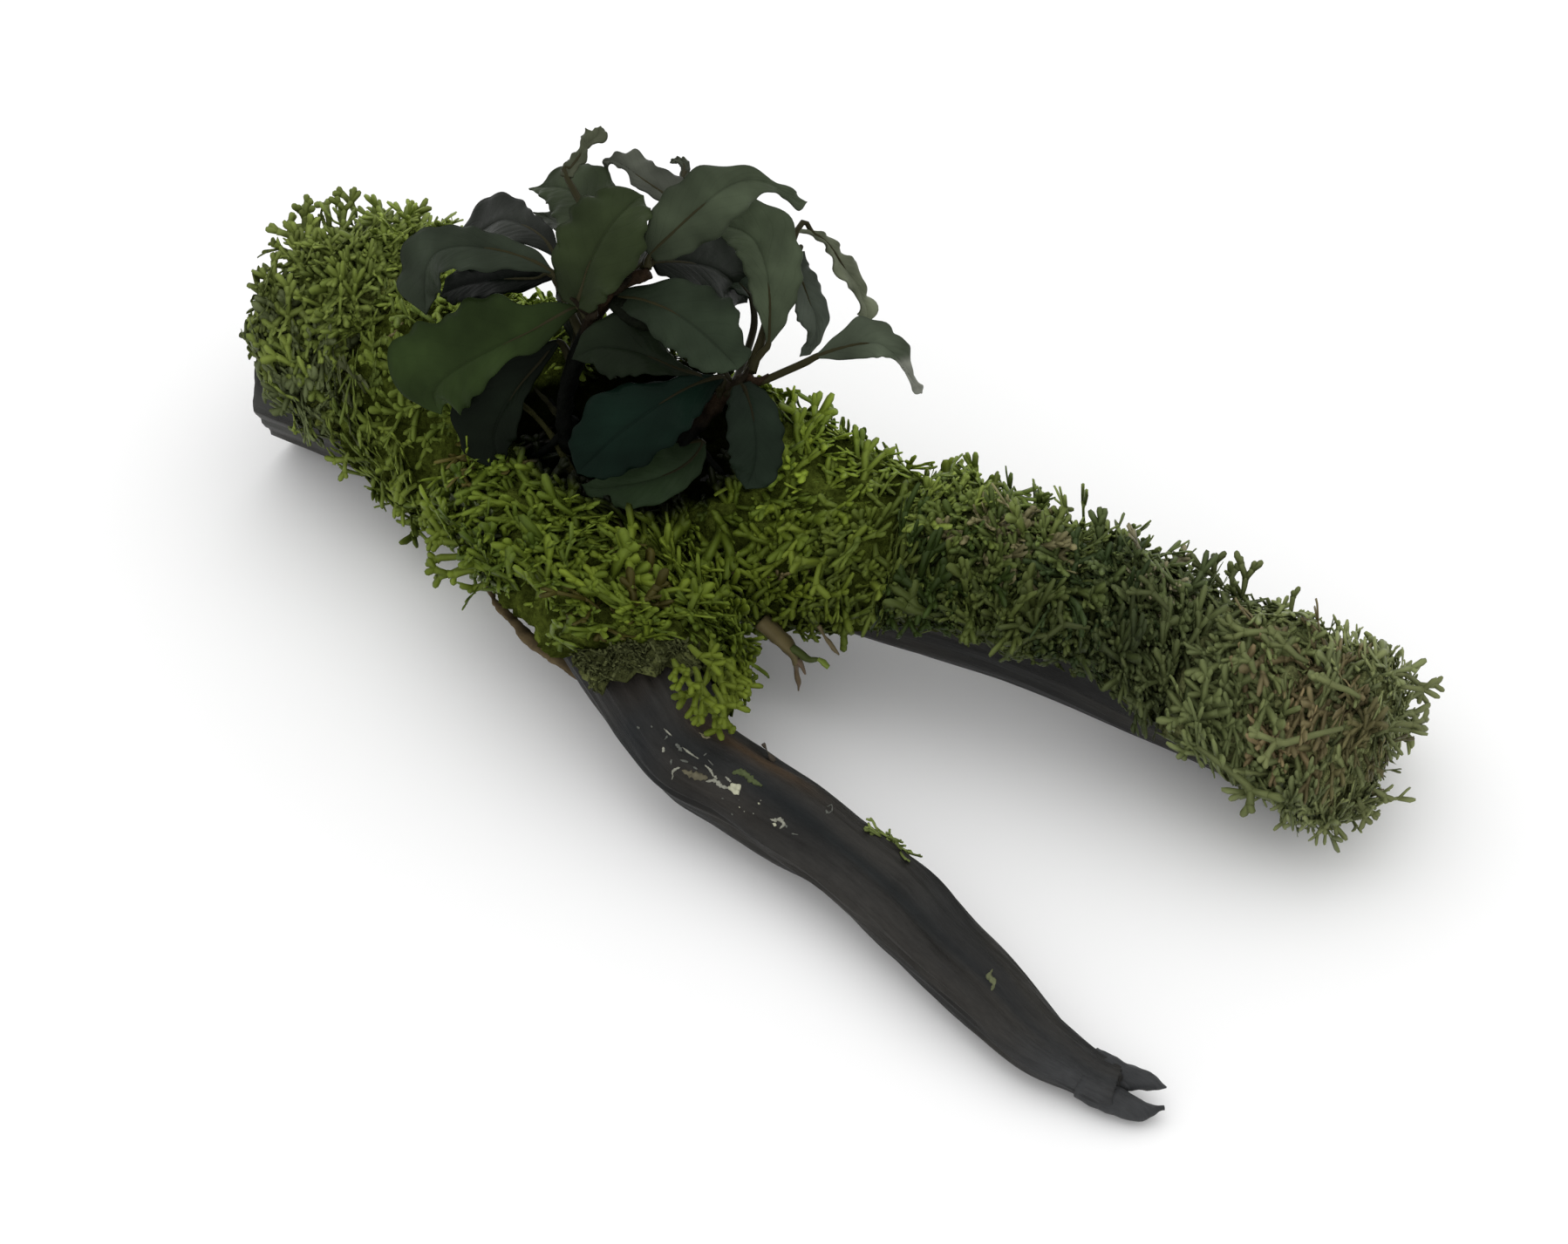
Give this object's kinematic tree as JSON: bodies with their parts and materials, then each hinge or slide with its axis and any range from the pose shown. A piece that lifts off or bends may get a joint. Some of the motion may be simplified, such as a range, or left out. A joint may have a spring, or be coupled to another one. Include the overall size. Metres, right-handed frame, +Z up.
{
  "type": "java fern on driftwood",
  "caption": "Aquarium plant with broad, wavy, dark green leaves on a forked piece of dark driftwood wrapped in bright green moss, lying on its side.",
  "frame": {"origin": "on the ground, under the middle of the object's box", "axes": "+Z up as the object lies, +X along the main bough from its thick broken end to its blunt mossy end, -Y towards the side branch and the viewer of the picture"},
  "size_m": [0.254, 0.1268, 0.0955],
  "materials": {
    "driftwood": "damp, dark and rough, with long grain grooves",
    "moss_bright": "damp, forked, slightly glossy strands",
    "moss_fine": "damp, short, fine tufts",
    "moss_mixed": "damp strands mixed with fine tufts and brown patches",
    "moss_old": "dull, dark, fuzzy",
    "moss_hanging": "damp, brown-green",
    "stem": "reddish brown, satin",
    "leaf": "glossy, wavy at the edges"
  },
  "bodies": {
    "root": {"driftwood_trunk": "driftwood", "driftwood_bough": "driftwood", "driftwood_branch": "driftwood", "moss_left": "moss_bright", "moss_center": "moss_bright", "moss_fork": "moss_bright", "moss_scrap": "moss_bright", "moss_middle": "moss_fine", "moss_right": "moss_mixed", "moss_pad": "moss_old", "moss_strand": "moss_hanging", "rhizome_a": "stem", "rhizome_b": "stem", "leaf_01": "leaf", "leaf_02": "leaf", "leaf_03": "leaf", "leaf_04": "leaf", "leaf_05": "leaf", "leaf_06": "leaf", "leaf_07": "leaf", "leaf_08": "leaf", "leaf_09": "leaf", "leaf_10": "leaf", "leaf_11": "leaf", "leaf_12": "leaf", "leaf_13": "leaf", "leaf_14": "leaf", "leaf_15": "leaf", "leaf_16": "leaf", "leaf_17": "leaf", "leaf_18": "leaf", "leaf_19": "leaf", "leaf_20": "leaf", "leaf_21": "leaf", "leaf_22": "leaf", "leaf_23": "leaf", "leaf_24": "leaf", "leaf_25": "leaf", "leaf_26": "leaf"}
  },
  "joints": []
}
